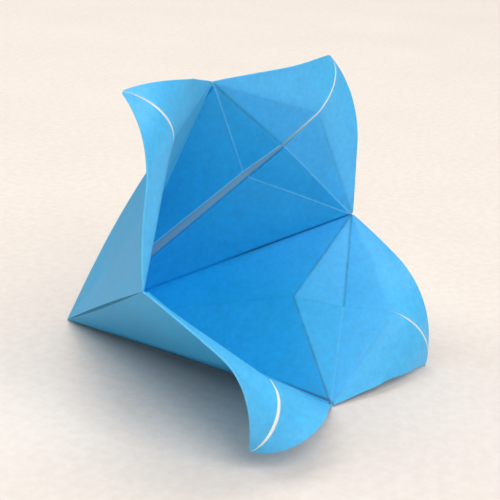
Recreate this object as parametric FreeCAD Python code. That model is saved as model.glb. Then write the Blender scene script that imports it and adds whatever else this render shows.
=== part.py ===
"""Origami bellflower folded from one square of paper, lying on its side as it comes to rest.

Millimetres, +Z up, the mouth towards -Y.  The bell is a pyramid of four panels that meet at the apex.
Seen from the mouth its four petals are upper left, upper right, lower right and lower left.
"""
import FreeCAD, Part
import math
import os

Vec = FreeCAD.Vector

# --- the sheet -----------------------------------------------------------------------------------
paper_side = 150.0          # side of the square before folding
wall_thick = 0.30           # outer sheet and inner flap lying together
flap_depth = 0.16           # how far a slit between two inner flaps goes into the wall
tuck_thick = 0.45           # folded tuck lying on the inside of a panel
tuck_start = 6.0            # tuck's narrow end, from the apex
tuck_setback = 1.2          # tuck's free end, back from the mouth's corner
tip_width = 0.5             # blunt end of a folded petal tip

# --- the bell ------------------------------------------------------------------------------------
tall_half_angle = 30.4      # apex angle from the bell's axis to its top and bottom edges, degrees

# --- each petal --------------------------------------------------------------------------------------
# slope_angle     slope of its folded edges from the panel, degrees
# flat            straight run of those edges before the curl
# curl_angle      turn of the curl, degrees
# crease_angle    slope of its middle between the first crease and the mouth side, degrees
# ridge_out       how far the middle of the mouth side stands out
# shoulder_out    how far the middle of the second crease stands out from the edges' curve
# lean            sideways lean of the tip
# first_bulge, second_bulge   outward bulge of its two folded edges
upper_left_slope_angle = 24.5
upper_left_flat = 9.1
upper_left_curl_angle = 106.0
upper_left_crease_angle = 13.0
upper_left_ridge_out = 2.5
upper_left_shoulder_out = 1.15
upper_left_lean = 1.7
upper_left_first_bulge = 2.0
upper_left_second_bulge = 1.2

upper_right_slope_angle = 21.4
upper_right_flat = 9.8
upper_right_curl_angle = 74.0
upper_right_crease_angle = -1.4
upper_right_ridge_out = 2.4
upper_right_shoulder_out = 0.0
upper_right_lean = -0.65
upper_right_first_bulge = 0.25
upper_right_second_bulge = 0.2

lower_right_slope_angle = 18.5
lower_right_flat = 7.8
lower_right_curl_angle = 93.5
lower_right_crease_angle = 24.7
lower_right_ridge_out = 0.95
lower_right_shoulder_out = -0.65
lower_right_lean = 3.35
lower_right_first_bulge = -0.55
lower_right_second_bulge = 2.5

lower_left_slope_angle = 28.0
lower_left_flat = 10.9
lower_left_curl_angle = 124.0
lower_left_crease_angle = 1.5
lower_left_ridge_out = 2.55
lower_left_shoulder_out = -0.8
lower_left_lean = -1.05
lower_left_first_bulge = -2.2
lower_left_second_bulge = -0.5

# --- slits along the middle of each panel, where the inner flaps meet ------------------------------
slit_start = 7.0            # distance from the apex
open_slit_width = 2.4       # between the tucks, at its wide end near the apex
open_slit_mouth = 0.7       # between the tucks' corners at the mouth
shut_slit_width = 0.16      # where the flaps meet edge to edge
curl_slit_width = 0.8       # where a curl spreads the flaps
seam_width = 0.5            # gap at the middle of each outside corner
seam_depth = 0.22

curl_steps = 10
first_step = 0.05           # first place down a curl, as a share of its length


def unit(v):
    """Direction of a vector."""
    return v * (1.0 / v.Length)


def meet(planes, depth):
    """Shift of a corner so that it lies `depth` below every plane whose outward normal is given, best fit."""
    m = [[sum(n[i] * n[j] for n in planes) + (1e-6 if i == j else 0.0) for j in range(3)] for i in range(3)]
    right = [-depth * sum(n[i] for n in planes) for i in range(3)]
    matrix = FreeCAD.Matrix(m[0][0], m[0][1], m[0][2], 0, m[1][0], m[1][1], m[1][2], 0,
                            m[2][0], m[2][1], m[2][2], 0, 0, 0, 0, 1)
    return matrix.inverse().multVec(Vec(*right))


def normal(a, b, c, outside):
    """Unit normal of a triangle, on the side of the direction `outside`."""
    n = unit((b - a).cross(c - a))
    return n if n.dot(outside) > 0 else n * -1.0


def facet(*corners):
    """Flat face through its corners."""
    return Part.Face(Part.makePolygon(list(corners) + [corners[0]]))


def curve(points):
    """Line through two points, or smooth curve through more."""
    if len(points) == 2:
        return Part.makeLine(points[0], points[1])
    spline = Part.BSplineCurve()
    spline.interpolate(points)
    return spline.toShape()


def ruled(points_a, points_b):
    """Straight rules between two edges that run the same way."""
    same_way = 1
    return Part.makeRuledSurface(curve(points_a), curve(points_b), same_way)


def closed_solid(faces):
    """Solid inside faces that share their edges."""
    skin = Part.makeCompound(faces)
    skin.sewShape()
    solid = Part.Solid(skin.Shells[0])
    if solid.Volume < 0:
        solid.reverse()
    return solid


# --- crease pattern --------------------------------------------------------------------------------
half_diagonal = paper_side / (2.0 * math.sqrt(2.0))
corner_run = half_diagonal / math.cos(math.radians(22.5))      # apex to a corner of the mouth
mouth_run = half_diagonal                                      # apex to the middle of a mouth side
petal_run = half_diagonal * (math.sqrt(2.0) - 1.0)             # middle of a mouth side to the petal's tip
chevron_run = half_diagonal * (3.0 - 2.0 * math.sqrt(2.0))     # the same middle back to the chevron crease

half_tall = math.radians(tall_half_angle)
half_wide = math.acos(math.cos(math.radians(45.0)) / math.cos(half_tall))
apex = Vec(0, 0, 0)
top = Vec(0, math.sin(half_tall), math.cos(half_tall)) * corner_run
right = Vec(math.sin(half_wide), 0, math.cos(half_wide)) * corner_run
bottom = Vec(0, -math.sin(half_tall), math.cos(half_tall)) * corner_run
left = Vec(-math.sin(half_wide), 0, math.cos(half_wide)) * corner_run
mouth_centre = (top + right + bottom + left) * 0.25


class Petal:
    """One panel of the bell with its petal: frame, creases and curled profile."""

    def __init__(self, first, second, slope_angle, flat, curl_angle, crease_angle, ridge_out,
                 shoulder_out, lean, first_bulge, second_bulge):
        self.first, self.second = first, second
        self.middle = (first + second) * 0.5
        self.along = unit(self.middle)
        self.across = unit(second - first)
        out = unit(self.along.cross(self.across))
        self.out = out if out.dot(self.middle - mouth_centre) > 0 else out * -1.0
        self.slope = math.radians(slope_angle)
        self.flat = flat
        self.radius = (petal_run - flat) / math.radians(curl_angle)
        self.shoulder_out = shoulder_out
        self.lean = lean
        self.bulges = {-1: first_bulge, 1: second_bulge}
        self.half_mouth = (second - first).Length / 2.0
        self.ridge = self.middle + self.out * ridge_out
        self.crease_slope = math.radians(crease_angle)
        self.crease = self.ridge - self.heading(self.crease_slope) * chevron_run
        self.shoulder = self.middle_point(0.0)
        self.panel_slope = math.atan2(self.crease.dot(self.out), self.crease.dot(self.along))
        self.panels = [
            normal(apex, first, self.crease, self.out), normal(apex, self.crease, second, self.out)]
        self.bases = [normal(first, self.crease, self.ridge, self.out),
                      normal(self.ridge, self.crease, second, self.out)]
        self.brims = [normal(first, self.ridge, self.shoulder, self.out),
                      normal(self.shoulder, self.ridge, second, self.out)]

    def heading(self, angle):
        """Direction along the petal where it slopes outwards by an angle."""
        return self.along * math.cos(angle) + self.out * math.sin(angle)

    def inward(self, angle):
        """Normal towards the inside of the bell where the petal slopes outwards by an angle."""
        return self.along * math.sin(angle) - self.out * math.cos(angle)

    def station(self, run):
        """Point and slope of the petal's plain curve at a run from the mouth side."""
        shift = self.across * (self.lean * (run / petal_run) ** 2)
        if run <= self.flat:
            return self.middle + self.heading(self.slope) * run + shift, self.slope
        angle = self.slope + (run - self.flat) / self.radius
        start = self.middle + self.heading(self.slope) * self.flat
        return start + (self.inward(angle) - self.inward(self.slope)) * self.radius + shift, angle

    def middle_point(self, share, depth=0.0):
        """Point down the middle of the petal, from the second crease (share 0) to the tip (share 1)."""
        point, angle = self.station(chevron_run + (petal_run - chevron_run) * share)
        return point + self.inward(angle) * (depth - self.shoulder_out * (1.0 - share))

    def edge_point(self, share, side, depth=0.0):
        """Point down a folded edge (side -1 or 1), from the mouth's corner (share 0) to the tip (share 1)."""
        point, angle = self.station(petal_run * share)
        half_width = self.half_mouth + (tip_width / 2.0 - self.half_mouth) * share
        bulge = self.bulges[side] * math.sin(math.pi * share)
        return point + self.across * (side * half_width) + self.inward(angle) * (depth - bulge)

    def rails(self, depth):
        """First edge, middle and second edge of the curl as rows of points, inwards by a depth."""
        return ([self.edge_point(share, -1, depth) for share in curl_shares],
                [self.middle_point(share, depth) for share in curl_shares],
                [self.edge_point(share, 1, depth) for share in curl_shares])


curl_shares = [first_step + (1.0 - first_step) * k / curl_steps for k in range(curl_steps + 1)]
petals = {
    "upper_left": Petal(
        left, top, upper_left_slope_angle, upper_left_flat, upper_left_curl_angle,
        upper_left_crease_angle, upper_left_ridge_out, upper_left_shoulder_out, upper_left_lean,
        upper_left_first_bulge, upper_left_second_bulge),
    "upper_right": Petal(
        top, right, upper_right_slope_angle, upper_right_flat, upper_right_curl_angle,
        upper_right_crease_angle, upper_right_ridge_out, upper_right_shoulder_out, upper_right_lean,
        upper_right_first_bulge, upper_right_second_bulge),
    "lower_right": Petal(
        right, bottom, lower_right_slope_angle, lower_right_flat, lower_right_curl_angle,
        lower_right_crease_angle, lower_right_ridge_out, lower_right_shoulder_out, lower_right_lean,
        lower_right_first_bulge, lower_right_second_bulge),
    "lower_left": Petal(
        bottom, left, lower_left_slope_angle, lower_left_flat, lower_left_curl_angle,
        lower_left_crease_angle, lower_left_ridge_out, lower_left_shoulder_out, lower_left_lean,
        lower_left_first_bulge, lower_left_second_bulge),
}


# --- folded wall -----------------------------------------------------------------------------------
def corner_normals(corner):
    """Outward normals of the folded faces that meet at a corner of the mouth."""
    found = []
    for p in petals.values():
        if p.first is corner:
            found += [p.panels[0], p.bases[0], p.brims[0]]
        if p.second is corner:
            found += [p.panels[1], p.bases[1], p.brims[1]]
    return found


def folded_wall():
    """The bell's four panels and curled petals as one closed wall."""
    faces = []
    apex_in = apex + meet([n for p in petals.values() for n in p.panels], wall_thick)
    for p in petals.values():
        skins = []
        for depth, a in ((0.0, apex), (wall_thick, apex_in)):
            first, second, crease, ridge, shoulder = (q + meet(n, depth) for q, n in (
                (p.first, corner_normals(p.first)), (p.second, corner_normals(p.second)),
                (p.crease, p.panels + p.bases), (p.ridge, p.bases + p.brims), (p.shoulder, p.brims)))
            low, mid, high = p.rails(depth)
            for inner, outer in ((a, crease), (crease, ridge), (ridge, shoulder)):
                faces += [facet(first, inner, outer), facet(second, inner, outer)]
            faces += [ruled([first, shoulder], [low[0], mid[0]]),
                      ruled([shoulder, second], [mid[0], high[0]])]
            faces += [ruled(low, mid), ruled(mid, high)]
            skins.append((first, second, low, mid, high))
        (first, second, low, mid, high), (first_in, second_in, low_in, mid_in, high_in) = skins
        faces += [ruled([first, low[0]], [first_in, low_in[0]]), ruled(low, low_in)]
        faces += [ruled([second, high[0]], [second_in, high_in[0]]), ruled(high, high_in)]
        faces.append(facet(low[-1], mid[-1], high[-1], high_in[-1], mid_in[-1], low_in[-1]))
    return closed_solid(faces)


def tuck(p, corner, side):
    """Folded tuck that lies inside a panel, from near the apex to one corner of the mouth."""
    panel = p.panels[side]
    base = p.bases[side]
    points = [unit(corner) * tuck_start, corner - unit(corner) * tuck_setback, p.crease, p.ridge,
              unit(p.crease) * tuck_start]
    folded = [[panel], [panel, base], [panel, base], [base], [panel]]
    low = [q + meet(n, wall_thick * 0.5) for q, n in zip(points, folded)]
    high = [q + meet(n, wall_thick + tuck_thick) for q, n in zip(points, folded)]
    faces = [facet(*[s[k] for k in part]) for s in (low, high) for part in ((0, 1, 2), (0, 2, 4), (1, 3, 2))]
    rim = ((0, 1), (1, 3), (3, 2), (2, 4), (4, 0))
    faces += [ruled([low[a], low[b]], [high[a], high[b]]) for a, b in rim]
    return closed_solid(faces)


def slit(p, width_near, width_mouth, width_curl, top_depth):
    """Cutter for the slit along the middle of a panel and its petal."""
    def quad(point, inward, width, normals):
        fold = max(0.0, *(n.dot(p.across) for n in normals))
        low = wall_thick - flap_depth + fold * width / 2.0
        return [point + p.across * (s * width / 2.0) + inward * d
                for s, d in ((-1, low), (1, low), (1, top_depth), (-1, top_depth))]

    def between(slope_a, slope_b):
        return p.inward((slope_a + slope_b) / 2.0) * (1.0 / math.cos((slope_a - slope_b) / 2.0))

    panel, base, brim = p.panels[1], p.bases[1], p.brims[1]
    brim_way = p.shoulder - p.ridge
    brim_slope = math.atan2(brim_way.dot(p.out), brim_way.dot(p.along))
    width_crease = width_near + (width_mouth - width_near) * 0.35
    stations = [
        quad(p.heading(p.panel_slope) * slit_start, p.inward(p.panel_slope), width_near, [panel, panel]),
        quad(p.crease, between(p.panel_slope, p.crease_slope), width_crease, [panel, base]),
        quad(p.ridge, between(p.crease_slope, brim_slope), width_mouth, [base, brim]),
        quad(p.shoulder, between(brim_slope, p.slope), width_mouth, [brim, brim]),
    ]
    curl = []
    for share in curl_shares + [1.0 + first_step]:
        spread = width_mouth + (width_curl - width_mouth) * math.sin(math.pi * min(1.0, share * 1.1))
        inward = p.inward(p.station(chevron_run + (petal_run - chevron_run) * share)[1])
        curl.append(quad(p.middle_point(share), inward, max(spread, shut_slit_width * 0.5), [brim, brim]))
    faces = [facet(*stations[0]), facet(*curl[-1])]
    for quads in list(zip(stations, stations[1:])) + [(stations[-1], curl[0]), curl]:
        edges = [[q[k] for q in quads] for k in range(4)]
        faces += [ruled(edges[k], edges[(k + 1) % 4]) for k in range(4)]
    return closed_solid(faces)


def seam(corner, planes):
    """Cutter for the lens-shaped gap on the outside of a folded corner."""
    away = unit(planes[0] + planes[1])
    run = unit(corner)
    across = unit(run.cross(away))
    ends = [run * (corner.Length * 0.06), run * (corner.Length * 0.97)]
    ring = [across * (seam_width / 2.0), away * -seam_depth, across * (-seam_width / 2.0), away * seam_depth]
    ring = [run * (corner.Length * 0.5) + r for r in ring]
    return closed_solid([facet(end, ring[k], ring[(k + 1) % 4]) for end in ends for k in range(4)])


# --- the bell in its folded frame --------------------------------------------------------------------
bell = folded_wall()
tucks = [tuck(p, corner, side) for p in (petals["upper_right"], petals["lower_left"])
         for corner, side in ((p.first, 0), (p.second, 1))]
bell = bell.fuse(tucks)
through_tucks = (wall_thick + tuck_thick) * 1.5
through_wall = wall_thick * 1.7
cutters = [
    slit(petals["upper_right"], open_slit_width, open_slit_mouth, curl_slit_width * 0.7, through_tucks),
    slit(petals["lower_left"], open_slit_width, open_slit_mouth, curl_slit_width, through_tucks),
    slit(petals["upper_left"], shut_slit_width, shut_slit_width, curl_slit_width * 0.6, through_wall),
    slit(petals["lower_right"], shut_slit_width, shut_slit_width, curl_slit_width * 0.5, through_wall),
]
neighbours = (("upper_left", "upper_right", top), ("upper_right", "lower_right", right),
              ("lower_right", "lower_left", bottom), ("lower_left", "upper_left", left))
cutters += [seam(corner, [petals[a].panels[1], petals[b].panels[0]]) for a, b, corner in neighbours]
bell = bell.cut(cutters)
bell = bell.Solids[0]


# --- laid on its side: apex and the two lower petals touch the table ---------------------------------
def resting_normal():
    """Upward normal of the table under the apex, the lower right petal and the bell's other low points."""
    def edge_points(name):
        shares = [k / 60.0 for k in range(20, 61)]
        return [petals[name].edge_point(share, side, depth)
                for depth in (0.0, wall_thick) for side in (-1, 1) for share in shares]

    right_side = edge_points("lower_right")
    left_side = edge_points("lower_left") + [bottom]
    touch_right, touch_left = right_side[-1], bottom
    for _ in range(20):
        up = unit(touch_right.cross(touch_left))
        up = up if up.dot(mouth_centre) > 0 else up * -1.0
        touch_right, touch_left = min(right_side, key=up.dot), min(left_side, key=up.dot)
    return up


up = resting_normal()
mouth_way = unit(mouth_centre - up * mouth_centre.dot(up))
back_way = mouth_way * -1.0
side_way = back_way.cross(up)
bell.Placement = FreeCAD.Placement(FreeCAD.Matrix(
    side_way.x, side_way.y, side_way.z, 0, back_way.x, back_way.y, back_way.z, 0,
    up.x, up.y, up.z, 0, 0, 0, 0, 1))
box = bell.optimalBoundingBox(False)
bell.translate(Vec(-(box.XMin + box.XMax) / 2.0, -(box.YMin + box.YMax) / 2.0, -box.ZMin))

os.makedirs("parts", exist_ok=True)
bell.exportStep("parts/bellflower.step")
print("valid", bell.isValid(), "solids", len(bell.Solids), "faces", len(bell.Faces),
      "volume", round(bell.Volume, 1))
box = bell.optimalBoundingBox(False)
print("size", [round(v, 2) for v in (box.XLength, box.YLength, box.ZLength)])
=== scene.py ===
"""Origami bellflower on a pale sheet of paper.

A bell of four folded panels, with its slits, tucks and creases, and four curled petals.
"""
import math

import bmesh
import bpy
import numpy as np
from mathutils import Matrix, Vector


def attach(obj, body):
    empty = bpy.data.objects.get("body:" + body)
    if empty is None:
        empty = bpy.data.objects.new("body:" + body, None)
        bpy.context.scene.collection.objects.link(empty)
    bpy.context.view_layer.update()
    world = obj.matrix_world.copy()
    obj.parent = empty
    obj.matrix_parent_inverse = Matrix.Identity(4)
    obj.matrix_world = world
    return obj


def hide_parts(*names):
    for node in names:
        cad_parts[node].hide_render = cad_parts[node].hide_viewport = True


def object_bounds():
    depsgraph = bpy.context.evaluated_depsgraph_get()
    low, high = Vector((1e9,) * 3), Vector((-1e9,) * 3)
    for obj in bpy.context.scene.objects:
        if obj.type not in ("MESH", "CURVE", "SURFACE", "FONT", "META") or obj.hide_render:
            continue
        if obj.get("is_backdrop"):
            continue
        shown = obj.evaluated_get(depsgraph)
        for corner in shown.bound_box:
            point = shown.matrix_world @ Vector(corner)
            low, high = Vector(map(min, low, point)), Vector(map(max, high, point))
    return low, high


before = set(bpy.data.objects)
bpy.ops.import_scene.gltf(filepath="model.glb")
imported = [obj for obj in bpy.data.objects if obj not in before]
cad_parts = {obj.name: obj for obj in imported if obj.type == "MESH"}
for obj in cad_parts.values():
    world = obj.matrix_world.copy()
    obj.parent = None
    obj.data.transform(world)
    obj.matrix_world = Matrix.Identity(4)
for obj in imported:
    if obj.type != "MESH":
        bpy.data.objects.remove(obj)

low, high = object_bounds()

# ---------------------------------------------------------------- the sheet, in metres
MM = 0.001
SHEET_SIDE = 150.0 * MM
HALF_DIAGONAL = SHEET_SIDE / (2.0 * math.sqrt(2.0))          # apex to the middle of a mouth side
CORNER_RUN = HALF_DIAGONAL / math.cos(math.radians(22.5))    # apex to a corner of the mouth
PETAL_RUN = HALF_DIAGONAL * (math.sqrt(2.0) - 1.0)           # middle of a mouth side to a petal's tip
CHEVRON_RUN = HALF_DIAGONAL * (3.0 - 2.0 * math.sqrt(2.0))   # the same middle back to the first crease
TALL_HALF_ANGLE = math.radians(30.4)    # at the apex, from the bell's axis to its top and bottom

# layers, as depths below the outside of the bell
WALL = 0.30 * MM          # outer sheet and flap together
FLOOR_DEPTH = 0.16 * MM   # the sheet's white reverse at the bottom of a slit
TUCK_BASE = 0.20 * MM     # a tuck's underside, sunk in the wall
TUCK_TOP = 0.66 * MM      # and its face

# edges
TIP_HALF = 0.22 * MM      # half the width of a petal's blunt tip
BEAD = 0.14 * MM          # how far a folded edge rounds out
SEAM_DEPTH = 0.24 * MM    # how deep the gap along a corner's seam is
SEAM_HALF = {"left": 0.50 * MM, "top": 0.15 * MM, "right": 0.12 * MM, "bottom": 0.25 * MM}
SEAM_FULLNESS = 0.8       # below 1 the gap widens sooner from its ends
EDGE_BOW = {"top": 1.8 * MM, "right": 0.0, "bottom": 0.0, "left": 0.0}    # outward bow of the folds
WIDEST_SLIT, WIDEST_SEAM = 0.45, 0.5    # at most these shares of half a panel's width
FLAP_LIFT = 0.10 * MM     # how far a flap's cut edge springs up
LIFT_SLOPE = 0.3          # and at most this share of the slit's half width
LIFT_REACH = 1.4 * MM     # how far behind the cut edge the lift has mostly faded

# tucks
TUCK_START = 0.11         # share of the way from the apex to the first crease
TUCK_END = (0.2, 0.8)     # its free end, between the last row of the chevron and the mouth side
TUCK_SET_BACK = 0.08 * MM     # its slit face, behind the flap's cut edge
TUCK_BROW = 0.25 * MM         # width of its pale cut edge
TUCK_GAP = 0.5 * MM           # between it and the corner's fold

# how stiffly the paper is held, as reaches over HALF_DIAGONAL
FOLD_GRIP, CORNER_GRIP, APEX_GRIP, TIP_GRIP = 0.10, 0.25, 0.3, 0.15
PETAL_GIVE = 0.35         # what a petal's folded edges still give
PAST_TIP = 0.01           # how far past the tip its grip begins, so that the tip gives a little
WARP_DEPTH, WARP_SIZE, WARP_SEED = 0.0007, 0.02, 4.0      # waves' depth and size in metres, and seed

# creases on the flat sheet, as lengths from the apex over HALF_DIAGONAL
AT_CREASE, AT_SIDE, AT_SHOULDER, AT_TIP, HALF_SIDE = 0.8284, 1.0, 1.1716, 1.4142, 0.4142
ON_CREASE = 1e-4          # nearer than this a point lies on the crease

# Each petal, in degrees and millimetres; pairs are for its first and second side:
#   ends           corners of the mouth that it lies between
#   slope, flat    slope of its folded edges from the panel, and their straight run before the curl
#   curl, lean     turn of the curl, and sideways lean of the tip
#   crease         slope of its middle between the first crease and the mouth side
#   ridge_out      how far the middle of the mouth side stands out
#   shoulder_out   how far the middle of the second crease stands out from the edges' curve
#   bulges, swell  outward bulge of its folded edges; above 1, swell moves it towards the tip
#   flares         how far the edges widen past FLARE_FROM
#   soft           whether the second crease is rounded
#   folds          lines of its three creases: above 0 pale, worn dye and painted highlight; below 0 dark, painted shade
#   gutters        above 0 a painted shade line beside the corner's fold, below 0 painted light near the corner
#   shades         painted shade, with more roughness, on the flap past the mouth side
#   tucked         whether tucks lie on the inside of its panel
#   slit           half width of its slit at places along the middle, over HALF_DIAGONAL
EVEN_PETAL = dict(swell=(1.0, 1.0), flares=(0.0, 0.0), gutters=(0.0, 0.0), shades=(0.0, 0.0),
                  soft=False, tucked=False)
PETALS = {
    "upper_left": dict(
        EVEN_PETAL, ends=("left", "top"), slope=24.5, flat=9.1, curl=106.0, lean=1.7, crease=13.0,
        ridge_out=2.5, shoulder_out=1.15, bulges=(2.0, 1.2), shades=(0.0, -0.2), soft=True,
        folds=((0.0, 0.0, 0.0), (0.9, 0.9, 0.0)),
        slit=((0.0, 0.012), (0.98, 0.012), (1.04, 0.12), (1.17, 0.21), (1.30, 0.23), (1.40, 0.06))),
    "upper_right": dict(
        EVEN_PETAL, ends=("top", "right"), slope=21.4, flat=9.8, curl=74.0, lean=-0.65, crease=-1.4,
        ridge_out=2.4, shoulder_out=0.0, bulges=(0.25, 0.2), gutters=(0.0, 0.2), tucked=True,
        folds=((0.8, -0.7, -0.15), (1.0, 0.8, -0.45)),
        slit=((0.0, 1.2), (0.8284, 0.95), (1.0, 0.42), (1.1716, 0.16), (1.35, 0.16), (1.40, 0.05))),
    "lower_right": dict(
        EVEN_PETAL, ends=("right", "bottom"), slope=18.5, flat=7.8, curl=93.5, lean=3.35, crease=24.7,
        ridge_out=0.95, shoulder_out=-0.65, bulges=(-0.55, 2.5), gutters=(-1.0, 0.9), soft=True,
        swell=(1.0, 1.2), flares=(0.0, 0.9), folds=((-0.9, -0.9, 0.0), (-0.9, 0.35, -0.3)),
        slit=((0.0, 0.008), (1.17, 0.010), (1.22, 0.18), (1.31, 0.24), (1.38, 0.06), (1.40, 0.02))),
    "lower_left": dict(
        EVEN_PETAL, ends=("bottom", "left"), slope=28.0, flat=10.9, curl=124.0, lean=-1.05, crease=1.5,
        ridge_out=2.55, shoulder_out=-0.8, bulges=(-2.2, -0.5), tucked=True,
        folds=((0.0, 0.0, 1.0), (0.0, 0.0, 0.2)),
        slit=((0.0, 1.1), (0.8284, 0.8), (1.0, 0.3), (1.16, 0.10), (1.24, 0.34), (1.33, 0.34),
              (1.41, 0.04))),
}
FLARE_FROM = 0.40         # share of a folded edge, from the mouth's corner to the tip

# Masks of a face: white reverse, its low values painting the reverse in shade; worn edge above 0, with
# painted highlight on side 0's tuck faces, and painted shade below 0; outside of the sheet
PLAIN = (0.0, 0.0, 0.0)
OUTSIDE = (0.0, 0.0, 1.0)
# SEAM_SHADE is painted shade in the gap along a corner's seam
SEAM_SHADE = (0.0, -0.75, 1.0)
ROUNDED_EDGE = (0.0, 0.18, 0.0)
BLUNT_TIP = (0.0, 0.6, 0.0)
BLUNT_REVERSE = (0.5, 0.6, 0.0)
# Tuck faces by side: side 0's slit face is white and its brow pale, the paper's white cut core with a
# painted highlight; side 1's are left nearly plain
TUCK_FACES_SIDE_0_HIGHLIT = (((1.0, 1.0, 0.0), (0.0, 1.1, 0.0)), ((0.0, 0.1, 0.0), PLAIN))   # slit face, brow by side
TUCK_END_SHADE = 0.3
# Reverse mask of a slit's floor at the mouth side and at the second crease: the low one paints the reverse
# in shade, grey-blue; CUT_WHITE is the cut edge's white
FLOOR_SHADE_TO_WHITE, CUT_WHITE = (0.3, 1.0), (0.0, 0.9)      # at the mouth side and at the second crease
# A flap's painted shade and extra roughness end here:
FLAP_SHADE_UNTIL = 1.32         # where a dulled flap has its plain look again, over HALF_DIAGONAL

# grid of half a panel and its petal
PANEL_ROWS, FOLD_ROWS, CURL_ROWS, COLUMNS = 32, 6, 48, 26
ROWS = PANEL_ROWS + 2 * FOLD_ROWS + CURL_ROWS + 1
AT_Q, AT_R, AT_S = PANEL_ROWS, PANEL_ROWS + FOLD_ROWS, PANEL_ROWS + 2 * FOLD_ROWS   # rows of the creases
COLUMN_SHARES = np.linspace(0.0, 1.0, COLUMNS + 1)[None]
FLOOR_COLUMN = 0.72       # share of a slit's floor where its middle column lies
BEAD_STEPS, BEAD_ROWS = 6, 4.0      # steps round a folded edge, and rows that it takes to round out
TINY = 1e-9               # least width that is divided by


# ---------------------------------------------------------------- the folded shape
def unit(v):
    """Direction of a vector."""
    return v / np.linalg.norm(v)


def meet(planes, depth):
    """Shift of a corner that takes it `depth` below every plane whose outward normal is given."""
    return np.linalg.lstsq(np.array(planes), np.full(len(planes), -depth), rcond=1e-3)[0]


def facing(a, b, c, outside):
    """Unit normal of a triangle, on the side of the direction `outside`."""
    n = unit(np.cross(b - a, c - a))
    return n if n @ outside > 0 else -n


def mouth_corners():
    """Corners of the bell's mouth, from its apex."""
    tall = TALL_HALF_ANGLE
    wide = math.acos(math.cos(math.radians(45.0)) / math.cos(tall))
    return {"top": np.array((0.0, math.sin(tall), math.cos(tall))) * CORNER_RUN,
            "bottom": np.array((0.0, -math.sin(tall), math.cos(tall))) * CORNER_RUN,
            "right": np.array((math.sin(wide), 0.0, math.cos(wide))) * CORNER_RUN,
            "left": np.array((-math.sin(wide), 0.0, math.cos(wide))) * CORNER_RUN}


CORNERS = mouth_corners()
MOUTH = sum(CORNERS.values()) / 4.0


class Petal:
    """One panel of the bell with its petal: frame, creases and curled profile."""

    def __init__(self, ends, slope, flat, curl, lean, crease, ridge_out, shoulder_out, bulges, swell,
                 flares, soft, folds, gutters, shades, tucked, slit):
        self.ends, self.tucked, self.slit = ends, tucked, slit
        self.bulges, self.swell, self.flares, self.soft = bulges, swell, flares, soft
        self.folds, self.gutters, self.shades = folds, gutters, shades
        first, second = (CORNERS[name] for name in ends)
        self.corners = (first, second)
        self.middle = (first + second) / 2.0
        self.along = unit(self.middle)
        self.across = unit(second - first)
        out = unit(np.cross(self.along, self.across))
        self.out = out if out @ (self.middle - MOUTH) > 0 else -out
        self.slope, self.flat = math.radians(slope), flat * MM
        self.radius = (PETAL_RUN - self.flat) / math.radians(curl)
        self.shoulder_out, self.lean = shoulder_out * MM, lean * MM
        self.half_mouth = np.linalg.norm(second - first) / 2.0
        self.ridge = self.middle + self.out * ridge_out * MM
        self.crease = self.ridge - self.heading(math.radians(crease)) * CHEVRON_RUN
        self.shoulder = self.middle_point(0.0)
        chain = [np.zeros(3), self.crease, self.ridge, self.shoulder]
        self.facets = [[facing(a, b, corner, self.out) for corner in self.corners]
                       for a, b in zip(chain, chain[1:])]

    def heading(self, angle):
        """Direction along the petal where it slopes outwards by an angle."""
        return self.along * math.cos(angle) + self.out * math.sin(angle)

    def inward(self, angle):
        """Normal towards the inside of the bell where the petal slopes outwards by an angle."""
        return self.along * math.sin(angle) - self.out * math.cos(angle)

    def station(self, run):
        """Point and slope of the petal's plain curve at a run from the mouth side."""
        shift = self.across * (self.lean * (run / PETAL_RUN) ** 2)
        if run <= self.flat:
            return self.middle + self.heading(self.slope) * run + shift, self.slope
        angle = self.slope + (run - self.flat) / self.radius
        start = self.middle + self.heading(self.slope) * self.flat
        return start + (self.inward(angle) - self.inward(self.slope)) * self.radius + shift, angle

    def middle_point(self, share, depth=0.0):
        """Point down the middle of the petal, from the second crease to the tip."""
        point, angle = self.station(CHEVRON_RUN + (PETAL_RUN - CHEVRON_RUN) * share)
        return point + self.inward(angle) * (depth - self.shoulder_out * (1.0 - share))

    def edge_point(self, share, side, depth=0.0, swell=1.0, flare=0.0):
        """Point down the folded edge of side 0 or 1, from the mouth's corner to the tip."""
        point, angle = self.station(PETAL_RUN * share)
        half_width = self.half_mouth + (TIP_HALF - self.half_mouth) * share
        past = math.pi * max(share - FLARE_FROM, 0.0) / (1.0 - FLARE_FROM)
        half_width += flare * MM * math.sin(past) ** 2
        bulge = self.bulges[side] * MM * math.sin(math.pi * share ** swell)
        return point + self.across * ((-1, 1)[side] * half_width) + self.inward(angle) * (depth - bulge)


SHAPES = {name: Petal(**size) for name, size in PETALS.items()}


def bow(corner, share):
    """How far a corner's fold bows out at a share of its length from the apex."""
    radial, axis = unit(CORNERS[corner]), unit(MOUTH)
    return unit(radial * (axis @ radial) - axis) * EDGE_BOW[corner] * math.sin(math.pi * share)


def facets_at(corner):
    """Outward normals of the folded faces that meet at a corner of the mouth."""
    return [facet[p.ends.index(corner)] for p in SHAPES.values() if corner in p.ends for facet in p.facets]


def resting_turn():
    """Turn that lays the bell on its apex, its bottom corner and the lower right petal."""
    steps, rounds = 60, 20
    shares = [k / steps for k in range(steps // 3, steps + 1)]
    right_side, left_side = (
        [SHAPES[name].edge_point(share, side, depth)
         for share in shares for side in (0, 1) for depth in (0.0, WALL)]
        for name in ("lower_right", "lower_left"))
    left_side.append(CORNERS["bottom"])
    touch = [right_side[-1], CORNERS["bottom"]]
    for _ in range(rounds):
        up = unit(np.cross(touch[0], touch[1]))
        up = up if up @ MOUTH > 0 else -up
        touch = [min(right_side, key=up.dot), min(left_side, key=up.dot)]
    back = -unit(MOUTH - up * (MOUTH @ up))
    return np.array((np.cross(back, up), back, up))


TURN = resting_turn()
APEX_AT = np.array((0.0, high[1], low[2]))


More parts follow.
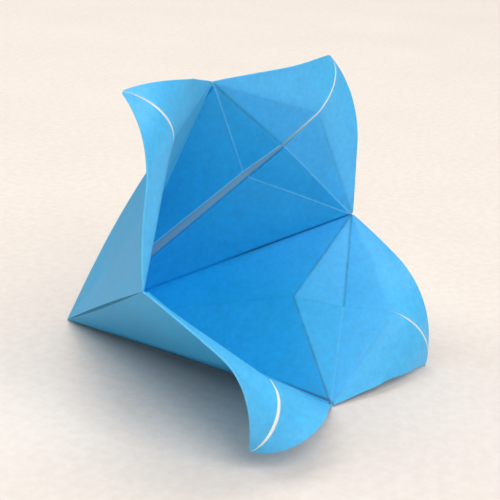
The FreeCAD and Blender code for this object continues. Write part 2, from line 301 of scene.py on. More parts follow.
def skin(petal, side, depth):
    """Middle and edge points of every row of half a panel, apex to tip, `depth` below its outside."""
    apex = meet([n for p in SHAPES.values() for n in p.facets[0]], depth)
    corner = petal.corners[side] + meet(facets_at(petal.ends[side]), depth)
    panel, base, brim = petal.facets
    stops = [(apex, apex), (petal.crease + meet(panel + base, depth), corner),
             (petal.ridge + meet(base + brim, depth), corner), (petal.shoulder + meet(brim, depth), corner)]
    rows = []
    for start, end, count in zip(stops, stops[1:], (PANEL_ROWS, FOLD_ROWS, FOLD_ROWS)):
        for k in range(count):
            share = k / count
            middle, edge = (a + (b - a) * share for a, b in zip(start, end))
            if start is stops[0]:
                edge = edge + bow(petal.ends[side], share)
            rows.append((middle, edge))
    rows.append(stops[-1])
    for k in range(1, CURL_ROWS + 1):
        share = k / CURL_ROWS
        edge = petal.edge_point(share, side, depth, petal.swell[side], petal.flares[side])
        rows.append((petal.middle_point(share, depth), edge))
    return np.array(rows)


def flat_rows(side):
    """The same rows on the flat sheet: lengths along and across a panel over HALF_DIAGONAL."""
    way = (-1.0, 1.0)[side]
    rows = []
    for k in range(PANEL_ROWS + 1):
        f = k / PANEL_ROWS
        rows.append(((AT_CREASE * f, 0.0), (AT_SIDE * f, way * HALF_SIDE * f)))
    for start in (AT_CREASE, AT_SIDE):
        for k in range(1, FOLD_ROWS + 1):
            middle = start + (AT_SIDE - AT_CREASE) * k / FOLD_ROWS
            rows.append(((middle, 0.0), (AT_SIDE, way * HALF_SIDE)))
    for k in range(1, CURL_ROWS + 1):
        f = k / CURL_ROWS
        rows.append(((AT_SHOULDER + (AT_TIP - AT_SHOULDER) * f, 0.0),
                     (AT_SIDE + (AT_TIP - AT_SIDE) * f, way * HALF_SIDE * (1.0 - f))))
    return np.array(rows)


class Folds:
    """Collects the grids of half a panel, with each point's place on the sheet and its masks."""

    def __init__(self, petal, side):
        self.way, self.softened = petal.out, petal.soft
        self.creases, self.gutter = petal.folds[side], petal.gutters[side]
        self.points, self.ease, self.soft, self.faces = [], [], [], []
        self.sheet, self.masks = [], []

    def grid(self, points, sheet, mask, flip, ease=None):
        """Adds points[row][column] with their places on the sheet, one mask or a mask each."""
        start, (rows, columns) = len(self.points), points.shape[:2]
        self.points.extend(points.reshape(-1, 3))
        flat = np.full((rows, columns, 3), self.gutter)
        flat[..., :2] = sheet
        flat, mask = flat.reshape(-1, 3), np.broadcast_to(mask, (rows, columns, 3)).reshape(-1, 3)
        self.ease.extend((np.zeros((rows, columns)) if ease is None else ease).reshape(-1))
        shoulder = AT_SIDE + (AT_SHOULDER - AT_SIDE) * (1.0 - np.abs(flat[:, 1]) / HALF_SIDE)
        self.soft.extend(np.where(self.softened & (np.abs(flat[:, 0] - shoulder) < ON_CREASE), 1.0, 0.0))
        for r in range(rows - 1):
            for c in range(columns - 1):
                a = r * columns + c
                quad = (a, a + 1, a + columns + 1, a + columns)
                quad = quad[::-1] if flip else quad
                self.faces.append(tuple(start + i for i in quad))
                self.sheet.extend(flat[i] for i in quad)
                self.masks.extend(mask[i] for i in quad)


def spread(rows, shares):
    """Points at shares[row][column] of the way from a row's middle to its edge."""
    return rows[:, None, 0] + (rows[:, None, 1] - rows[:, None, 0]) * shares[..., None]


def half_widths(rows):
    """Width of each row of half a panel."""
    return np.maximum(np.linalg.norm(rows[:, 1] - rows[:, 0], axis=1), TINY)


def unit_rows(vectors):
    """Unit vectors of a grid."""
    return vectors / np.maximum(np.linalg.norm(vectors, axis=-1, keepdims=True), 1e-12)


def slit_share(petal, place, width):
    """Where the flap's cut edge lies in each row, as a share of the half width."""
    half = np.interp(place, [at for at, _ in petal.slit], [gap for _, gap in petal.slit]) * MM
    return np.minimum(half / width, WIDEST_SLIT)


def unevenness(flat):
    """How freely the paper bends: not at all at the corners, less at the folded edges."""
    a, b = flat[..., 0], np.abs(flat[..., 1])
    from_fold = np.where(a < AT_SIDE, a * HALF_SIDE, AT_TIP - a) - b
    fold = np.clip(from_fold / FOLD_GRIP, 0.0, 1.0)
    fold = np.where(a < AT_SIDE, fold, PETAL_GIVE + (1.0 - PETAL_GIVE) * fold)
    corner = np.clip(np.hypot(a - AT_SIDE, b - HALF_SIDE) / CORNER_GRIP, 0.0, 1.0)
    return fold * corner * np.clip(a / APEX_GRIP, 0, 1) * np.clip(
        (AT_TIP + PAST_TIP - a) / TIP_GRIP, 0.0, 1.0)


def rounded_edge(outside, inside, sideways):
    """Columns that round a petal's folded edge from outside to inside, from flat at the corner."""
    over = inside - outside
    rounded = np.clip(np.arange(len(outside)) / BEAD_ROWS, 0.0, 1.0)[:, None]
    columns = []
    for k in range(BEAD_STEPS + 1):
        turn = math.pi * k / BEAD_STEPS
        bead = outside + over * (1.0 - math.cos(turn)) / 2.0 + sideways * BEAD * math.sin(turn)
        columns.append(outside + over * (k / BEAD_STEPS) * (1.0 - rounded) + (bead - outside) * rounded)
    return np.stack(columns, axis=1)


def half_panel(folds, petal, side):
    """Outside, seam, flap, slit and folded edge of half a panel and its petal, as one skin."""
    outer, floor, top = (skin(petal, side, depth) for depth in (0.0, FLOOR_DEPTH, WALL))
    flat, width = flat_rows(side), half_widths(outer)
    place = flat[:, 0, 0]
    start = slit_share(petal, place, width)
    shares = np.concatenate([np.zeros((ROWS, 1)), start[:, None] + (1.0 - start[:, None]) * COLUMN_SHARES],
                            axis=1)
    sheet = spread(flat, shares)
    ease = unevenness(sheet)
    turned = side == 1

    # outside, drawn back from the corner where the seam gapes
    lens = np.sin(np.pi * np.clip(np.arange(ROWS) / PANEL_ROWS, 0.0, 1.0)) ** SEAM_FULLNESS
    drawn_back = np.minimum(lens * SEAM_HALF[petal.ends[side]] / width, WIDEST_SEAM)
    outside = spread(outer, shares * (1.0 - drawn_back)[:, None])
    folds.grid(outside, sheet, OUTSIDE, turned, ease)
    inwards = unit(meet(facets_at(petal.ends[side])[::3], 1.0))
    seam_bottom = outer[:AT_Q + 1, 1] + np.outer(lens[:AT_Q + 1] * SEAM_DEPTH, inwards)
    seam = np.stack([outside[:AT_Q + 1, -1], seam_bottom], axis=1)
    # the seam's gap, painted in shade
    folds.grid(seam, sheet[:AT_Q + 1, -1:].repeat(2, axis=1), SEAM_SHADE, turned)

    # flap, springing up a little at its cut edge
    flap = spread(top, shares[:, 1:])
    from_cut = (shares[:, 1:] - start[:, None]) * width[:, None]
    lift = np.minimum(start * width * LIFT_SLOPE, FLAP_LIFT)[:, None] * np.exp(-from_cut / LIFT_REACH)
    flap = flap + unit_rows(flap - spread(outer, shares[:, 1:])) * lift[..., None]
    # painted shade, with more roughness, on the flap past the mouth side
    shade_and_roughness = np.zeros((ROWS, 1, 3))
    shade_and_roughness[:, 0, 1] = petal.shades[side] * np.interp(
        place, (AT_CREASE, AT_SIDE, AT_SHOULDER, FLAP_SHADE_UNTIL), (0, 1, 1, 0))
    folds.grid(flap, sheet[:, 1:], shade_and_roughness, not turned, ease[:, 1:])

    # the slit's floor and the flap's cut edge, white past the mouth side; before it the floor's reverse is
    # painted in shade
    strip = np.stack([shares[:, 0], start * FLOOR_COLUMN, start], axis=1)
    slit_floor = spread(floor, strip)
    reverse_shade_and_highlight = np.zeros(slit_floor.shape)
    reverse_shade_and_highlight[..., 0] = np.interp(place, (AT_SIDE, AT_SHOULDER), FLOOR_SHADE_TO_WHITE)[:, None]
    # painted highlight: a white line along the border of side 0's slit floor
    if side == 0:
        reverse_shade_and_highlight[:, -1, 0] = 1.0
    folds.grid(slit_floor, spread(flat, strip), reverse_shade_and_highlight, not turned, ease[:, [0, 0, 1]])
    cut = np.stack([slit_floor[:, -1], flap[:, 0]], axis=1)
    white = np.zeros(cut.shape)
    white[..., :2] = np.interp(place, (AT_SIDE, AT_SHOULDER), CUT_WHITE)[:, None, None]
    folds.grid(cut, sheet[:, 1:2].repeat(2, axis=1), white, not turned, ease[:, 1:2].repeat(2, axis=1))

    # the petal's folded edge and blunt tip
    ring = rounded_edge(outside[AT_S:, -1], flap[AT_S:, -1], petal.across * (-1, 1)[side])
    turns = ring.shape[1]
    folds.grid(ring, sheet[AT_S:, -1:].repeat(turns, axis=1), ROUNDED_EDGE, turned,
               ease[AT_S:, -1:].repeat(turns, axis=1))
    tip = np.stack([outside[-1], np.concatenate([slit_floor[-1, :1], flap[-1]])])
    folds.grid(tip, sheet[-1:].repeat(2, axis=0), BLUNT_TIP, turned)
    folds.grid(np.stack([slit_floor[-1], flap[-1, [0, 0, 0]]]), sheet[-1:, [0, 1, 1]].repeat(2, axis=0),
               BLUNT_REVERSE, turned)


def tuck(folds, petal, side):
    """Folded tuck on the inside of half a panel, from near the apex to just short of the mouth side."""
    first = int(TUCK_START * PANEL_ROWS)

    def cropped(rows):
        """Rows from the tuck's narrow end to its free end."""
        end = rows[AT_R - 1:AT_R] * TUCK_END[0] + rows[AT_R:AT_R + 1] * TUCK_END[1]
        return np.concatenate([rows[first:AT_R], end])

    flat, full_width = flat_rows(side), half_widths(skin(petal, side, 0.0))
    width = cropped(full_width)
    start = cropped(slit_share(petal, flat[:, 0, 0], full_width)) + TUCK_SET_BACK / width
    end = 1.0 - TUCK_GAP / width
    brow = start + TUCK_BROW / width
    shares = np.concatenate([start[:, None], brow[:, None] + (end - brow)[:, None] * COLUMN_SHARES], axis=1)
    under, over = (spread(cropped(skin(petal, side, depth)), shares) for depth in (TUCK_BASE, TUCK_TOP))
    sheet = spread(cropped(flat), shares)
    ease = unevenness(sheet)
    turned = side == 1
    # side 0's tuck faces carry a painted highlight
    slit_face, cut_edge = TUCK_FACES_SIDE_0_HIGHLIT[side]
    # the tuck's free end is painted in shade where the panel's second crease is dark
    free_end = (0.0, TUCK_END_SHADE * min(petal.folds[side][1], 0.0), 0.0)
    folds.grid(over[:, 1:], sheet[:, 1:], PLAIN, not turned, ease[:, 1:])
    folds.grid(over[:, :2], sheet[:, :2], cut_edge, not turned, ease[:, :2])
    folds.grid(under, sheet, PLAIN, turned, ease)
    for column, mask, flip in ((0, slit_face, not turned), (-1, PLAIN, turned)):
        folds.grid(np.stack([under[:, column], over[:, column]], axis=1),
                   sheet[:, [column, column]], mask, flip, ease[:, [column, column]])
    for row, mask, flip in ((0, PLAIN, turned), (-1, free_end, not turned)):
        folds.grid(np.stack([under[row], over[row]]), sheet[[row, row]], mask, flip, ease[[row, row]])


def folded_mesh(name, parts):
    """Mesh of collected half panels, laid down in the frame and welded along their shared folds.

    Points carry ease (how freely they bend), soft (on a rounded crease) and way (the panel's outward
    direction). Faces' corners carry sheet (place along and across the panel, gutter), masks and folds.
    """
    points, faces = [], []
    values = {label: [] for label in ("ease", "soft", "way", "sheet", "masks", "folds")}
    for part in parts:
        faces += [tuple(len(points) + i for i in face) for face in part.faces]
        points += part.points
        way, creases = [TURN @ part.way] * len(part.points), [part.creases] * len(part.sheet)
        for label, more in zip(values, (part.ease, part.soft, way, part.sheet, part.masks, creases)):
            values[label] += more
    mesh = bpy.data.meshes.new(name)
    mesh.from_pydata((np.array(points) @ TURN.T + APEX_AT).tolist(), [], faces)
    for label, numbers in values.items():
        single = label in ("ease", "soft")
        layer = mesh.attributes.new(label, "FLOAT" if single else "FLOAT_VECTOR",
                                    "POINT" if single or label == "way" else "CORNER")
        layer.data.foreach_set("value" if single else "vector", np.array(numbers, dtype=np.float32).ravel())
    work = bmesh.new()
    work.from_mesh(mesh)
    bmesh.ops.remove_doubles(work, verts=work.verts, dist=1e-6)
    bmesh.ops.dissolve_degenerate(work, edges=work.edges, dist=1e-7)
    work.to_mesh(mesh)
    work.free()
    return mesh


# ---------------------------------------------------------------- node helpers
class Nodes:
    """Adds and links nodes in one tree."""

    def __init__(self, tree):
        self.tree = tree

    def add(self, kind, **settings):
        """New node with its settings."""
        node = self.tree.nodes.new(kind)
        for key, value in settings.items():
            setattr(node, key, value)
        return node

    def put(self, socket, value):
        """Links an output to a socket, or sets the socket to a plain value."""
        if hasattr(value, "is_output"):
            self.tree.links.new(value, socket)
        else:
            socket.default_value = value

    def fill(self, node, **values):
        """Puts values into a node's named inputs; an underscore stands for a space."""
        for label, value in values.items():
            self.put(node.inputs[label.replace("_", " ")], value)
        return node.outputs

    def math(self, operation, *values, clamp=False):
        node = self.add("ShaderNodeMath", operation=operation, use_clamp=clamp)
        for socket, value in zip(node.inputs, values):
            self.put(socket, value)
        return node.outputs[0]

    def plus(self, a, b, clamp=False):
        return self.math("ADD", a, b, clamp=clamp)

    def minus(self, a, b):
        return self.math("SUBTRACT", a, b)

    def times(self, a, b):
        return self.math("MULTIPLY", a, b)

    def larger(self, a, b):
        return self.math("MAXIMUM", a, b)

    def vector(self, operation, a, b=None, scale=None):
        node = self.add("ShaderNodeVectorMath", operation=operation)
        self.put(node.inputs[0], a)
        if b is not None:
            self.put(node.inputs[1], b)
        if scale is not None:
            self.put(node.inputs["Scale"], scale)
        return node.outputs["Value" if operation in ("LENGTH", "DOT_PRODUCT") else "Vector"]

    def split(self, vector):
        node = self.add("ShaderNodeSeparateXYZ")
        self.put(node.inputs[0], vector)
        return node.outputs

    def ramp(self, value, given, wanted=(0.0, 1.0), smooth=True):
        """Value that goes from the first to the second wanted one between the two given ones."""
        node = self.add("ShaderNodeMapRange", interpolation_type="SMOOTHSTEP" if smooth else "LINEAR")
        return self.fill(node, Value=value, From_Min=given[0], From_Max=given[1], To_Min=wanted[0],
                         To_Max=wanted[1])["Result"]

    def noise(self, vector, scale, detail, rough):
        return self.fill(self.add("ShaderNodeTexNoise"), Vector=vector, Scale=scale, Detail=detail,
                         Roughness=rough)["Fac"]

    def mix(self, fac, a, b):
        """Colour between two colours."""
        node = self.add("ShaderNodeMix", data_type="RGBA")
        self.put(node.inputs["Factor"], fac)
        self.put(node.inputs[6], a)
        self.put(node.inputs[7], b)
        return node.outputs[2]

    def bump(self, height):
        return self.fill(self.add("ShaderNodeBump"), Distance=1.0, Height=height)["Normal"]

    def attribute(self, name):
        return self.add("ShaderNodeAttribute", attribute_name=name).outputs["Vector"]

    def use(self, tree, **values):
        """Outputs of a node group with its inputs filled."""
        return self.fill(self.add("ShaderNodeGroup", node_tree=tree), **values)


def group(name, inputs, outputs, fill):
    """Shader node group; fill(nodes, given) returns its output values in order."""
    tree = bpy.data.node_groups.new(name, "ShaderNodeTree")
    for label, kind in inputs:
        tree.interface.new_socket(name=label, in_out="INPUT", socket_type=kind)
    for label, kind in outputs:
        tree.interface.new_socket(name=label, in_out="OUTPUT", socket_type=kind)
    nodes = Nodes(tree)
    given, result = nodes.add("NodeGroupInput"), nodes.add("NodeGroupOutput")
    for socket, value in zip(result.inputs, fill(nodes, given.outputs)):
        nodes.put(socket, value)
    return tree


def material_nodes(name):
    """New material with its node helper and its shader's inputs."""
    material = bpy.data.materials.new(name)
    material.use_nodes = True
    return material, Nodes(material.node_tree), material.node_tree.nodes["Principled BSDF"].inputs


# ---------------------------------------------------------------- bending by hand
def handled_paper_tree():
    """Geometry Nodes tree: bends a folded piece gently in and out, as handled paper bends."""
    tree = bpy.data.node_groups.new("Handled paper", "GeometryNodeTree")
    sockets = {}
    for label, kind, default in (
            ("Geometry", "NodeSocketGeometry", None), ("Warp Depth", "NodeSocketFloat", WARP_DEPTH),
            ("Warp Size", "NodeSocketFloat", WARP_SIZE), ("Seed", "NodeSocketFloat", WARP_SEED),
            ("Paper", "NodeSocketMaterial", None)):
        sockets[label] = tree.interface.new_socket(name=label, in_out="INPUT", socket_type=kind)
        if default is not None:
            sockets[label].default_value = default
    tree.interface.new_socket(name="Geometry", in_out="OUTPUT", socket_type="NodeSocketGeometry")
    nodes = Nodes(tree)
    given, result = nodes.add("NodeGroupInput").outputs, nodes.add("NodeGroupOutput").inputs
    noise = nodes.fill(nodes.add("ShaderNodeTexNoise", noise_dimensions="4D"),
                       Vector=nodes.add("GeometryNodeInputPosition").outputs[0], W=given["Seed"],
                       Scale=nodes.math("DIVIDE", 1.0, given["Warp Size"]), Detail=1.0)["Fac"]
    named = "GeometryNodeInputNamedAttribute"
    ease, way = (nodes.fill(nodes.add(named, data_type=kind), Name=label)["Attribute"]
                 for label, kind in (("ease", "FLOAT"), ("way", "FLOAT_VECTOR")))
    depth = nodes.times(nodes.times(nodes.minus(noise, 0.5), ease), given["Warp Depth"])
    moved = nodes.fill(nodes.add("GeometryNodeSetPosition"), Geometry=given["Geometry"],
                       Offset=nodes.vector("SCALE", way, scale=depth))[0]
    real = nodes.fill(nodes.add("GeometryNodeRealizeInstances"), Geometry=moved)[0]
    dressed = nodes.fill(nodes.add("GeometryNodeSetMaterial"), Geometry=real, Material=given["Paper"])[0]
    nodes.put(result[0], dressed)
    return tree, {label: socket.identifier for label, socket in sockets.items()}


HANDLED = handled_paper_tree()
SHARP_FOLD = math.radians(4.5)      # creases that turn by more than this are sharp


def bent(mesh, name, material):
    """Object of a mesh after the handled paper tree."""
    tree, names = HANDLED
    rough = bpy.data.objects.new(name + "_plain", mesh)
    bpy.context.scene.collection.objects.link(rough)
    modifier = rough.modifiers.new("Handled paper", "NODES")
    modifier.node_group = tree
    modifier[names["Warp Depth"]] = WARP_DEPTH
    modifier[names["Paper"]] = material
    evaluated = rough.evaluated_get(bpy.context.evaluated_depsgraph_get())
    finished = bpy.data.meshes.new_from_object(evaluated)
    finished.name = name
    bpy.data.objects.remove(rough)
    finished.shade_smooth()
    finished.set_sharp_from_angle(angle=SHARP_FOLD)
    soft = [point.value > 0.5 for point in finished.attributes["soft"].data]
    for edge in finished.edges:
        if all(soft[vertex] for vertex in edge.vertices):
            edge.use_edge_sharp = False
    for label in ("way", "ease", "soft"):
        finished.attributes.remove(finished.attributes[label])
    piece = bpy.data.objects.new(name, finished)
    bpy.context.scene.collection.objects.link(piece)
    return piece


# ---------------------------------------------------------------- paper
DYE = (0.002, 0.420, 0.820, 1.0)
# colour of the dye under painted light, on the petals and near a corner
PAINTED_LIGHT_DYE = (0.055, 0.505, 0.950, 1.0)
# worn dye, also a painted highlight on pale crease lines and side 0's tuck faces
WORN_AND_HIGHLIT_DYE = (0.34, 0.76, 0.95, 1.0)
# the white reverse painted in shade, grey-blue, deep in a slit
SHADED_REVERSE_IN_SLIT = (0.235, 0.47, 0.58, 1.0)
WHITE_REVERSE = (0.90, 0.91, 0.92, 1.0)
THIN_LINE, WIDE_LINE = 0.0042, 0.0080        # half widths of a crease's lines, over HALF_DIAGONAL
CREASE_RELIEF, GRAIN_RELIEF = 0.00004, 0.000022     # metres
CORNER_PLACE = (AT_SIDE, HALF_SIDE, 0.0)     # the mouth's corner on the flat sheet
DARKEST = 1.3             # of the crease lines
VALLEY_BEGINS, VALLEY_ENDS = (0.5, 0.7), (1.0, 1.01)     # along the panel, over HALF_DIAGONAL
VALLEY_CLOSES, VALLEY_EDGE = 1.35, (0.044, 0.060)        # where its line would end, and its blurred edge
# painted light near some corners, past the mouth side and past the second crease
CORNER_GLOW, GLOW_STRENGTH = (0.05, 0.60), 0.9           # paler paper: distance from the corner
SIDE_GLOW = (0.98, 1.02)                                 # across the mouth side
SHOULDER_GLOW = (AT_SHOULDER - 0.03, AT_SHOULDER + 0.04)   # across the second crease
GRAIN_SPREAD = (0.3, 0.7)                                # of the grain's tones, before they are used
GRAIN_TONES, GRAIN_ROUGHNESS = (0.82, 1.18), (0.46, 0.58)
SHADED, SHADED_ROUGHNESS = (-0.5, 0.0), (0.5, 0.0)       # shaded edges are rougher
# pale crease lines are worn dye and painted highlight; worn edges are wear, with some painted highlight
LINE_WEAR_AND_HIGHLIGHT, EDGE_WEAR_AND_HIGHLIGHT = 0.55, 0.6               # how far a pale line and a worn edge lose their dye
# painted shade: how far dark crease lines, shaded edges and the outside darken
SHADE, EDGE_SHADE, OUTSIDE_SHADE = 0.45, 1.7, 0.12     # how far lines, edges and the outside darken


def fill_crease(nodes, given):
    """Line mask along a straight crease between two places of the sheet, stronger here and there."""
    run = nodes.vector("SUBTRACT", given["End"], given["Start"])
    away = nodes.vector("SUBTRACT", given["Place"], given["Start"])
    share = nodes.math("DIVIDE", nodes.vector("DOT_PRODUCT", away, run),
                       nodes.vector("DOT_PRODUCT", run, run), clamp=True)
    beside = nodes.vector("SUBTRACT", away, nodes.vector("SCALE", run, scale=share))
    line = nodes.ramp(nodes.vector("LENGTH", beside), (0.0, given["Width"]), (1.0, 0.0))
    patches = nodes.noise(given["Place"], scale=9.0, detail=2.0, rough=0.6)
    return [nodes.times(line, nodes.ramp(patches, (0.25, 0.75), (0.45, 1.0)))]


CREASE = group("Crease line", [("Place", "NodeSocketVector"), ("Start", "NodeSocketVector"),
                               ("End", "NodeSocketVector"), ("Width", "NodeSocketFloat")],
               [("Line", "NodeSocketFloat")], fill_crease)


def fill_grain(nodes, given):
    """Mottled pulp, fine tooth and faint fibres of thin paper."""
    place = given["Place"]
    cloud = nodes.noise(place, scale=60.0, detail=3.0, rough=0.55)
    mottle = nodes.noise(place, scale=780.0, detail=3.0, rough=0.6)
    speck = nodes.noise(place, scale=1500.0, detail=2.0, rough=0.6)
    tooth = nodes.noise(place, scale=2600.0, detail=2.0, rough=0.6)
    stretched = nodes.fill(nodes.add("ShaderNodeMapping"), Vector=place, Scale=(1.0, 0.12, 1.0))[0]
    fibre = nodes.noise(stretched, scale=1900.0, detail=2.0, rough=0.7)
    tone = nodes.plus(nodes.times(cloud, 0.35),
                      nodes.plus(nodes.times(mottle, 0.40), nodes.times(speck, 0.25)))
    height = nodes.plus(nodes.times(tooth, 0.6), nodes.times(fibre, 0.4))
    return tone, height


GRAIN = group("Paper grain", [("Place", "NodeSocketVector")],
              [("Tone", "NodeSocketFloat"), ("Height", "NodeSocketFloat")], fill_grain)


def crease_lines(nodes, mirrored):
    """Pale lines (worn dye and painted highlight), dark lines (painted shade) and relief of the three
    creases of each half panel.
    """
    pale, dark, relief = 0.0, 0.0, 0.0
    for end, strength in zip((AT_CREASE, AT_SIDE, AT_SHOULDER), nodes.split(nodes.attribute("folds"))):
        thin, wide = (nodes.use(CREASE, Place=mirrored, Start=CORNER_PLACE, End=(end, 0.0, 0.0),
                                Width=width)["Line"] for width in (THIN_LINE, WIDE_LINE))
        pale = nodes.plus(pale, nodes.times(thin, nodes.larger(strength, 0.0)))
        dark = nodes.plus(dark, nodes.times(wide, nodes.larger(nodes.times(strength, -1.0), 0.0)))
        relief = nodes.plus(relief, nodes.times(nodes.times(wide, strength), CREASE_RELIEF))
    return pale, dark, relief


def valley_line(nodes, along, aside, gutter):
    """Painted shade: a dark line beside a corner's fold, from halfway down the panel to the mouth side."""
    from_fold = nodes.times(nodes.minus(nodes.times(along, HALF_SIDE), aside),
                            1.0 / math.hypot(1.0, HALF_SIDE))
    reach = nodes.times(nodes.minus(VALLEY_CLOSES, along), nodes.larger(gutter, 0.001))
    line = nodes.ramp(nodes.math("DIVIDE", from_fold, reach), VALLEY_EDGE, (DARKEST, 0.0))
    begun, not_ended = nodes.ramp(along, VALLEY_BEGINS), nodes.ramp(along, VALLEY_ENDS, (1.0, 0.0))
    return nodes.times(line, nodes.times(begun, not_ended))


def painted_light_share(nodes, mirrored, along, aside, gutter):
    """How far painted light pales the dye: near some corners, past the mouth side, and more past the second
    crease.
    """
    to_corner = nodes.vector("LENGTH", nodes.vector("SUBTRACT", mirrored, CORNER_PLACE))
    near_corner = nodes.times(nodes.ramp(to_corner, CORNER_GLOW, (1.0, 0.0)),
                              nodes.larger(nodes.times(gutter, -GLOW_STRENGTH), 0.0))
    to_shoulder = nodes.plus(along, nodes.times(aside, (AT_SHOULDER - AT_SIDE) / HALF_SIDE))
    past_side = nodes.ramp(along, SIDE_GLOW, (0.0, 0.45))
    past_shoulder = nodes.ramp(to_shoulder, SHOULDER_GLOW, (0.0, 0.55))
    return nodes.larger(near_corner, nodes.plus(past_side, past_shoulder))


def blue_paper():
    """Blue dyed paper with a white reverse: grain and pale worn edges, with painted highlights and painted
    shade on creases, corners, seams, slits and the outside, and painted light on the petals.
    """
    material, nodes, shader = material_nodes("blue_paper")
    reverse, wear_and_painted_light, outside = nodes.split(nodes.attribute("masks"))
    along, across, gutter = nodes.split(nodes.attribute("sheet"))
    aside = nodes.math("ABSOLUTE", across)
    mirrored = nodes.fill(nodes.add("ShaderNodeCombineXYZ"), X=along, Y=aside)[0]
    inside = nodes.minus(1.0, outside)
    grain = nodes.use(GRAIN, Place=nodes.add("ShaderNodeTexCoord").outputs["Object"])

    # painted shade: dark crease lines, the valley line and shaded edges darken the tone below, and the
    # outside is a little darker
    pale, dark, relief = crease_lines(nodes, mirrored)
    dark = nodes.plus(dark, valley_line(nodes, along, aside, gutter))
    pale, dark = (nodes.times(mask, inside) for mask in (pale, dark))
    dark = nodes.plus(nodes.math("MINIMUM", dark, DARKEST),
                      nodes.larger(nodes.times(wear_and_painted_light, -EDGE_SHADE), 0.0))
    tone = nodes.times(nodes.ramp(grain["Tone"], GRAIN_SPREAD, GRAIN_TONES, smooth=False),
                       nodes.minus(1.0, nodes.times(dark, SHADE)))
    tone = nodes.times(tone, nodes.minus(1.0, nodes.times(outside, OUTSIDE_SHADE)))
    # painted light pales the dye past the mouth side and near a corner
    painted_light = nodes.times(painted_light_share(nodes, mirrored, along, aside, gutter), inside)
    dyed = nodes.vector("SCALE", nodes.mix(painted_light, DYE, PAINTED_LIGHT_DYE), scale=tone)

    # pale crease lines and worn edges: worn dye and painted highlight
    worn_and_highlit = nodes.plus(nodes.times(pale, LINE_WEAR_AND_HIGHLIGHT), nodes.times(nodes.larger(wear_and_painted_light, 0.0), EDGE_WEAR_AND_HIGHLIGHT),
                        clamp=True)
    front = nodes.mix(worn_and_highlit, dyed, WORN_AND_HIGHLIT_DYE)
    # the reverse: painted in shade deep in a slit, white elsewhere
    back = nodes.mix(nodes.ramp(reverse, (0.3, 1.0)), SHADED_REVERSE_IN_SLIT, WHITE_REVERSE)
    nodes.put(shader["Base Color"], nodes.mix(nodes.ramp(reverse, (0.1, 0.3)), front, back))
    rough = nodes.ramp(grain["Tone"], GRAIN_SPREAD, GRAIN_ROUGHNESS, smooth=False)
    duller = nodes.ramp(wear_and_painted_light, SHADED, SHADED_ROUGHNESS, smooth=False)
    nodes.put(shader["Roughness"], nodes.plus(rough, duller, clamp=True))
    shader["Specular IOR Level"].default_value = 0.8
    shader["Subsurface Weight"].default_value = 0.25
    shader["Subsurface Radius"].default_value = (0.2, 0.7, 1.0)
    shader["Subsurface Scale"].default_value = 0.0003
    relief = nodes.plus(nodes.times(relief, inside), nodes.times(grain["Height"], GRAIN_RELIEF))
    nodes.put(shader["Normal"], nodes.bump(relief))
    return material


PAPER = blue_paper()

bell_parts, tuck_parts = [], []
for petal in SHAPES.values():
    for side in (0, 1):
        bell_parts.append(Folds(petal, side))
        half_panel(bell_parts[-1], petal, side)
        if petal.tucked:
            tuck_parts.append(Folds(petal, side))
            tuck(tuck_parts[-1], petal, side)

bell = bent(folded_mesh("folded_bell", bell_parts), "folded_bell", PAPER)
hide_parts("bellflower")
corner_tucks = bent(folded_mesh("corner_tucks", tuck_parts), "corner_tucks", PAPER)
for piece in (bell, corner_tucks):
    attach(piece, "root")

# ---------------------------------------------------------------- table, light and camera
DARK_CREAM, LIGHT_CREAM = (0.795, 0.725, 0.672, 1.0), (0.835, 0.775, 0.727, 1.0)
UNEVEN_RELIEF, TOOTH_RELIEF = 0.0003, 0.00012           # metres
TABLE_REACH, TABLE_DROP = 3.0, 0.00005       # metres from the middle to an edge, and below the flower
LAMP_SIDE = 1.2                              # metres
LAMPS = (("back_lamp", (0.80, 0.45, 1.31), 9.3),         # name, place in metres, watts
         ("right_lamp", (-0.45, -0.92, 1.23), 15.6),
         ("left_lamp", (-0.53, 0.88, 1.23), 8.6))
LAMPS_AIM = Vector((0, 0, 0.02))
ROOM_LIGHT, ROOM_STRENGTH = (1.0, 0.93, 0.83, 1.0), 0.34
LENS, NEAR_CLIP = 93.6, 0.01                 # millimetres, metres
CAMERA_AT = (-0.18020, -0.10902, 0.09658)
CAMERA_FORWARD, CAMERA_UP = (0.81916, 0.46606, -0.33431), (0.25831, 0.22063, 0.94053)


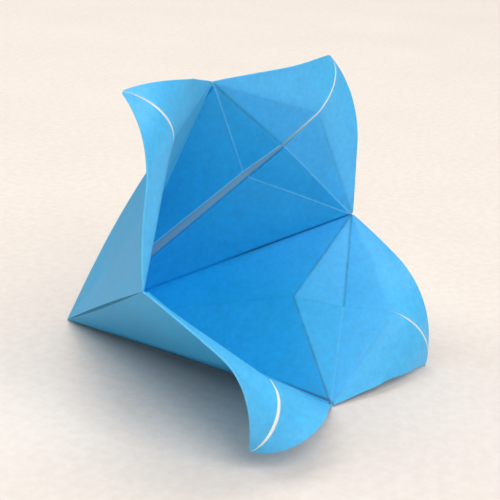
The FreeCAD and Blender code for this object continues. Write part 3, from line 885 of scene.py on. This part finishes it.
def cream_table():
    """Cream paper with faint mottling, a soft unevenness and a fine tooth."""
    material, nodes, shader = material_nodes("cream_table")
    place = nodes.add("ShaderNodeTexCoord").outputs["Object"]
    cloud = nodes.noise(place, scale=24.0, detail=3.0, rough=0.5)
    mottle = nodes.noise(place, scale=520.0, detail=3.0, rough=0.6)
    tone = nodes.plus(nodes.times(cloud, 0.3), nodes.times(mottle, 0.7))
    nodes.put(shader["Base Color"], nodes.mix(nodes.ramp(tone, (0.35, 0.65)), DARK_CREAM, LIGHT_CREAM))
    shader["Roughness"].default_value = 0.85
    shader["Specular IOR Level"].default_value = 0.2
    uneven = nodes.noise(place, scale=45.0, detail=2.0, rough=0.45)
    tooth = nodes.noise(place, scale=420.0, detail=3.0, rough=0.6)
    nodes.put(shader["Normal"], nodes.bump(nodes.plus(nodes.times(uneven, UNEVEN_RELIEF),
                                                      nodes.times(tooth, TOOTH_RELIEF))))
    return material


def table():
    """Large flat sheet under the flower."""
    mesh = bpy.data.meshes.new("cream_table")
    corners = [(x * TABLE_REACH, y * TABLE_REACH, 0) for x, y in ((-1, -1), (1, -1), (1, 1), (-1, 1))]
    mesh.from_pydata(corners, [], [(0, 1, 2, 3)])
    sheet = bpy.data.objects.new("cream_table", mesh)
    bpy.context.scene.collection.objects.link(sheet)
    sheet.location.z = low[2] - TABLE_DROP
    mesh.materials.append(cream_table())
    return sheet


table()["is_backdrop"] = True


def soft_light(name, at, watts):
    """Square area light that looks at the flower."""
    data = bpy.data.lights.new(name, "AREA")
    data.shape, data.size, data.energy = "SQUARE", LAMP_SIDE, watts
    light = bpy.data.objects.new(name, data)
    bpy.context.scene.collection.objects.link(light)
    light.location = at
    light.rotation_mode = "QUATERNION"
    light.rotation_quaternion = (LAMPS_AIM - Vector(at)).to_track_quat("-Z", "Y")


for name, at, watts in LAMPS:
    soft_light(name, at, watts)

world = bpy.data.worlds.new("studio")
bpy.context.scene.world = world
world.use_nodes = True
world.node_tree.nodes["Background"].inputs["Color"].default_value = ROOM_LIGHT
world.node_tree.nodes["Background"].inputs["Strength"].default_value = ROOM_STRENGTH
bpy.context.scene.view_settings.view_transform = "Standard"


def looking_camera():
    """Camera above the bell's open side, looking down at its mouth."""
    data = bpy.data.cameras.new("camera")
    data.lens, data.clip_start = LENS, NEAR_CLIP
    camera = bpy.data.objects.new("camera", data)
    bpy.context.scene.collection.objects.link(camera)
    forward, upward = Vector(CAMERA_FORWARD).normalized(), Vector(CAMERA_UP)
    right = forward.cross(upward).normalized()
    camera.location = CAMERA_AT
    camera.rotation_mode = "QUATERNION"
    camera.rotation_quaternion = Matrix(
        (right, right.cross(forward), -forward)).transposed().to_quaternion()
    return camera


bpy.context.scene.camera = looking_camera()

low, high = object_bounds()
